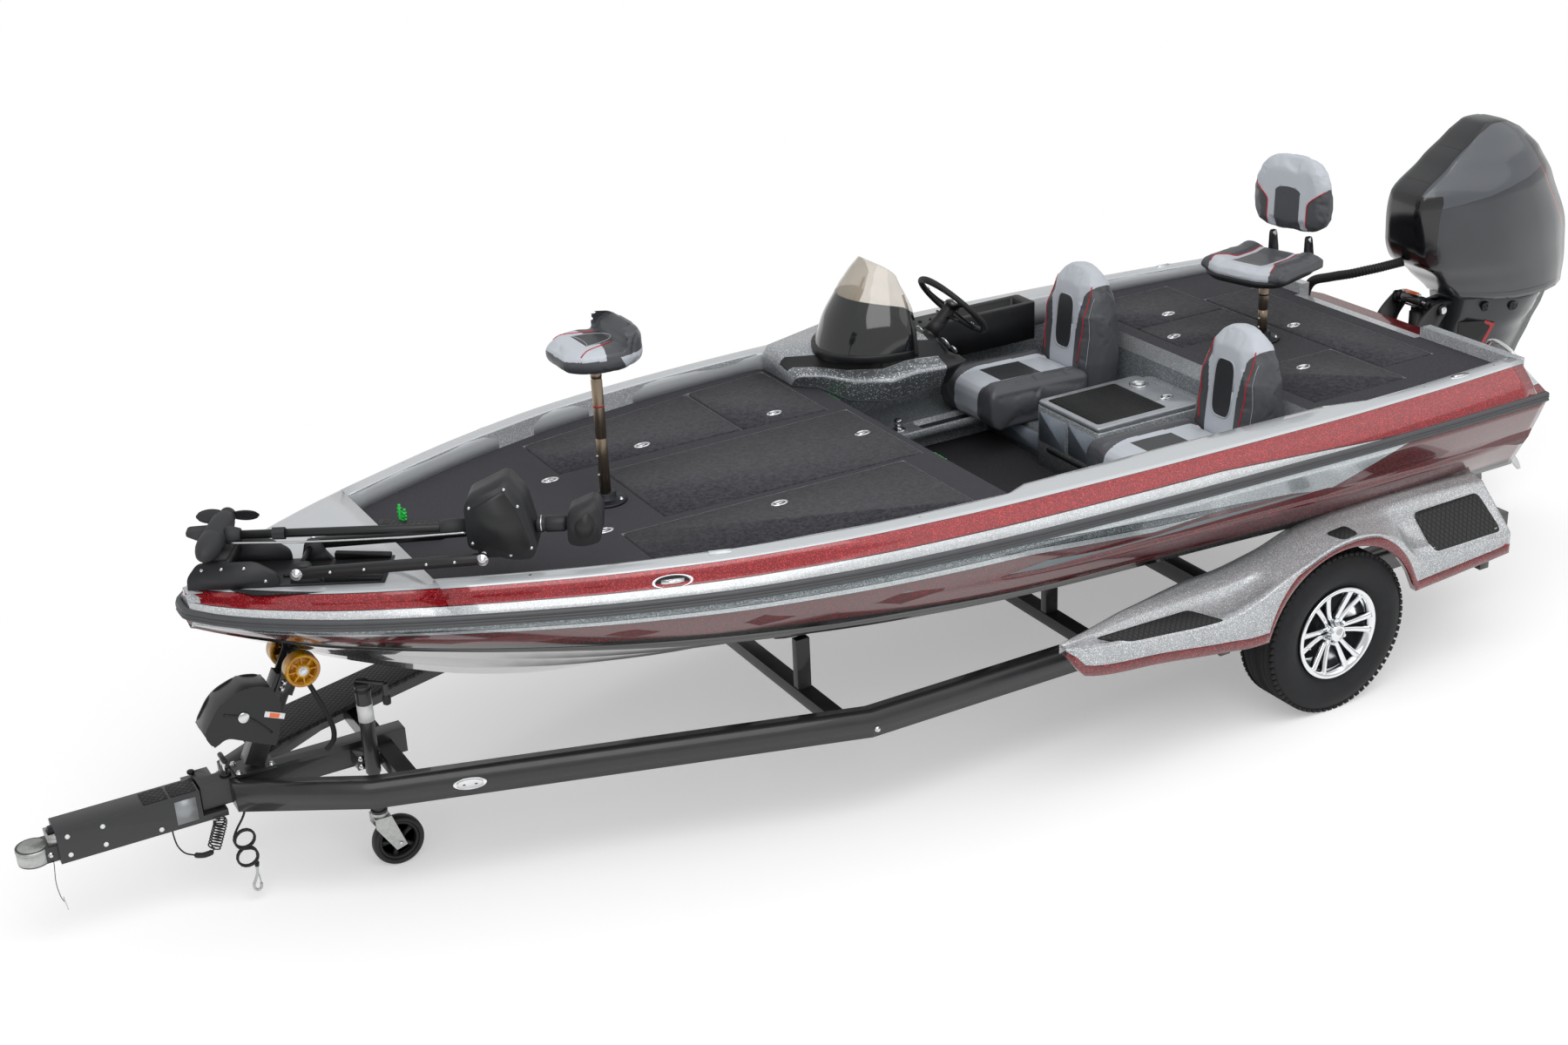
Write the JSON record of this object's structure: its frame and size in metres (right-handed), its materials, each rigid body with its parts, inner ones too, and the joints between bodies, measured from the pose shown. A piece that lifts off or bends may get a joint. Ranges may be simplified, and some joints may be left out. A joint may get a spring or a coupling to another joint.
{
  "type": "bass boat on trailer",
  "caption": "Bass fishing boat with console, pedestal seats, bow motor and outboard engine, standing on a single-axle trailer with a swing tongue.",
  "frame": {"origin": "bottom centre of the bounding box, on the ground under the middle of the whole length", "axes": "X+ towards the bow and the coupler, Y+ to port, Z+ up"},
  "size_m": [7.46, 2.544, 2.018],
  "materials": {
    "hull_maroon": "polished",
    "gunwale_silver": "polished",
    "rail_grey": "matte",
    "carpet": "matte",
    "moulding_grey": "satin",
    "upholstery": "satin",
    "smoked_screen": "polished",
    "black_plastic": "satin",
    "pole_bronze": "satin",
    "black_metal": "satin",
    "engine_black": "polished",
    "engine_iron": "matte",
    "polished_steel": "polished",
    "trailer_black": "satin",
    "bunk_carpet": "matte",
    "fender_silver": "polished",
    "tyre_rubber": "matte",
    "rim_chrome": "polished",
    "roller_amber": "satin",
    "zinc": "satin",
    "caster_black": "satin",
    "tube_black": "satin"
  },
  "bodies": {
    "boat_on_trailer": {"boat_hull": "hull_maroon", "deck": "gunwale_silver", "rub_rail": "rail_grey", "seat_base": "moulding_grey", "seat_cushions": "upholstery", "seat_backs": "upholstery", "console": "moulding_grey", "windshield": "smoked_screen", "side_console": "black_plastic", "bow_seat_pole": "pole_bronze", "rear_seat_pole": "pole_bronze", "motor_base": "black_metal", "foot_pedal": "black_plastic", "transom_bracket": "black_metal", "stern_handle": "polished_steel", "rigging_tube_fore": "tube_black", "frame_rail_left": "trailer_black", "frame_rail_right": "trailer_black", "cross_members": "trailer_black", "axle": "trailer_black", "bunks": "bunk_carpet", "fender_left": "fender_silver", "fender_right": "fender_silver", "winch_stand": "trailer_black", "bow_rollers": "roller_amber", "step_plate": "trailer_black", "jack": "trailer_black", "safety_cables": "tube_black"},
    "left_wheel": {"tyre_left": "tyre_rubber", "rim_left": "rim_chrome"},
    "right_wheel": {"tyre_right": "tyre_rubber", "rim_right": "rim_chrome"},
    "caster_fork": {"caster_yoke": "zinc"},
    "caster_roller": {"caster_wheel": "caster_black"},
    "swing_tongue": {"tongue": "trailer_black", "trailer_cable": "tube_black"},
    "helm_wheel": {"steering_wheel": "black_plastic"},
    "bow_chair": {"bow_seat_plate": "black_plastic", "bow_seat": "upholstery"},
    "stern_chair": {"rear_seat_hinge": "black_plastic", "rear_seat_cushion": "upholstery"},
    "stern_chair_back": {"rear_seat_back": "upholstery"},
    "hatch_front_port": {"front_lid_port": "carpet"},
    "hatch_front_starboard": {"front_lid_starboard": "carpet"},
    "hatch_front_starboard_aft": {"front_lid_starboard_aft": "carpet"},
    "hatch_front_centre": {"front_lid_centre": "carpet"},
    "hatch_rear_port": {"rear_lid_port": "carpet"},
    "hatch_rear_starboard": {"rear_lid_starboard": "carpet"},
    "hatch_rear_centre": {"rear_lid_centre": "carpet"},
    "hatch_rear_aft": {"rear_lid_aft": "carpet"},
    "step_box_lid": {"step_lid": "moulding_grey"},
    "engine_swivel": {"swivel_bracket": "black_metal"},
    "engine_body": {"engine_leg": "engine_black", "engine_cowl": "engine_black", "engine_block": "engine_iron", "rigging_tube_aft": "tube_black"},
    "engine_prop": {"propeller": "polished_steel"},
    "bow_motor_arms": {"motor_arms": "black_metal"},
    "bow_motor_head": {"motor_shaft": "black_plastic"},
    "bow_motor_prop": {"bow_propeller": "black_plastic"}
  },
  "joints": [
    {"name": "left_wheel_spin", "type": "hinge", "parent": "boat_on_trailer", "child": "left_wheel", "pos_m": [-1.37, 1.123, 0.359], "axis": [0, 1, 0], "continuous": true},
    {"name": "right_wheel_spin", "type": "hinge", "parent": "boat_on_trailer", "child": "right_wheel", "pos_m": [-1.37, -1.123, 0.359], "axis": [0, 1, 0], "continuous": true},
    {"name": "caster_swivel", "type": "hinge", "parent": "boat_on_trailer", "child": "caster_fork", "pos_m": [2.445, 0.146, 0.235], "axis": [0, 0, 1], "continuous": true},
    {"name": "caster_spin", "type": "hinge", "parent": "caster_fork", "child": "caster_roller", "pos_m": [2.387, 0.146, 0.102], "axis": [0, 1, 0], "continuous": true},
    {"name": "tongue_swing", "type": "hinge", "parent": "boat_on_trailer", "child": "swing_tongue", "pos_m": [3.052, -0.084, 0.45], "axis": [0, 0, -1], "range_deg": [0, 90]},
    {"name": "steering_wheel_turn", "type": "hinge", "parent": "boat_on_trailer", "child": "helm_wheel", "pos_m": [-0.65, -0.56, 1.465], "axis": [0.7431, 0, -0.6691], "range_deg": [-450, 450]},
    {"name": "bow_seat_swivel", "type": "hinge", "parent": "boat_on_trailer", "child": "bow_chair", "pos_m": [1.341, 0, 1.77], "axis": [0, 0, 1], "continuous": true},
    {"name": "rear_seat_swivel", "type": "hinge", "parent": "boat_on_trailer", "child": "stern_chair", "pos_m": [-1.967, 0, 1.49], "axis": [0, 0, 1], "continuous": true},
    {"name": "rear_seat_fold", "type": "hinge", "parent": "stern_chair", "child": "stern_chair_back", "pos_m": [-2.15136, -0.04597, 1.632], "axis": [-0.2419, 0.9703, 0], "range_deg": [0, 80]},
    {"name": "front_port_lid_open", "type": "hinge", "parent": "boat_on_trailer", "child": "hatch_front_port", "pos_m": [0.18, 0.83, 1.205], "axis": [-0.9929, 0.1191, 0], "range_deg": [0, 85]},
    {"name": "front_starboard_lid_open", "type": "hinge", "parent": "boat_on_trailer", "child": "hatch_front_starboard", "pos_m": [1.38, -0.725, 1.205], "axis": [0.9841, 0.1778, 0], "range_deg": [0, 85]},
    {"name": "front_starboard_aft_lid_open", "type": "hinge", "parent": "boat_on_trailer", "child": "hatch_front_starboard_aft", "pos_m": [0.535, -0.88, 1.205], "axis": [0.9923, 0.124, 0], "range_deg": [0, 85]},
    {"name": "front_centre_lid_open", "type": "hinge", "parent": "boat_on_trailer", "child": "hatch_front_centre", "pos_m": [1.22, 0.27, 1.205], "axis": [0, 1, 0], "range_deg": [0, 70]},
    {"name": "rear_port_lid_open", "type": "hinge", "parent": "boat_on_trailer", "child": "hatch_rear_port", "pos_m": [-2.115, 0.755, 1.19], "axis": [-1, 0, 0], "range_deg": [0, 85]},
    {"name": "rear_starboard_lid_open", "type": "hinge", "parent": "boat_on_trailer", "child": "hatch_rear_starboard", "pos_m": [-1.605, -0.87, 1.19], "axis": [1, 0, 0], "range_deg": [0, 85]},
    {"name": "rear_centre_lid_open", "type": "hinge", "parent": "boat_on_trailer", "child": "hatch_rear_centre", "pos_m": [-1.605, -0.435, 1.19], "axis": [1, 0, 0], "range_deg": [0, 85]},
    {"name": "rear_aft_lid_open", "type": "hinge", "parent": "boat_on_trailer", "child": "hatch_rear_aft", "pos_m": [-2.43, 0.6, 1.19], "axis": [0, -1, 0], "range_deg": [0, 85]},
    {"name": "step_lid_open", "type": "hinge", "parent": "boat_on_trailer", "child": "step_box_lid", "pos_m": [-1.43, 0.224, 1.07], "axis": [0, -1, 0], "range_deg": [0, 80]},
    {"name": "engine_tilt", "type": "hinge", "parent": "boat_on_trailer", "child": "engine_swivel", "pos_m": [-2.95, 0, 1.17], "axis": [0, -1, 0], "range_deg": [-60, 0], "deforming": ["rigging_tube_fore", "rigging_tube_aft"]},
    {"name": "engine_steer", "type": "hinge", "parent": "engine_swivel", "child": "engine_body", "pos_m": [-3.038, 0, 0.965], "axis": [0, 0, 1], "range_deg": [-30, 30]},
    {"name": "propeller_spin", "type": "hinge", "parent": "engine_body", "child": "engine_prop", "pos_m": [-3.57, 0, 0.312], "axis": [1, 0, 0], "continuous": true},
    {"name": "bow_motor_deploy", "type": "hinge", "parent": "boat_on_trailer", "child": "bow_motor_arms", "pos_m": [2.58859, 0.15474, 1.345], "axis": [-0.5, -0.866, 0], "range_deg": [-160, 0]},
    {"name": "bow_motor_level", "type": "hinge", "parent": "bow_motor_arms", "child": "bow_motor_head", "pos_m": [2.01961, 0.48324, 1.376], "axis": [-0.5, -0.866, 0], "range_deg": [0, 70]},
    {"name": "bow_propeller_spin", "type": "hinge", "parent": "bow_motor_head", "child": "bow_motor_prop", "pos_m": [2.76523, -0.14932, 1.445], "axis": [-0.5, -0.866, 0], "continuous": true}
  ],
  "couplings": [
    {"joint": "bow_motor_level", "follows": "bow_motor_deploy", "ratio": -0.4375}
  ]
}
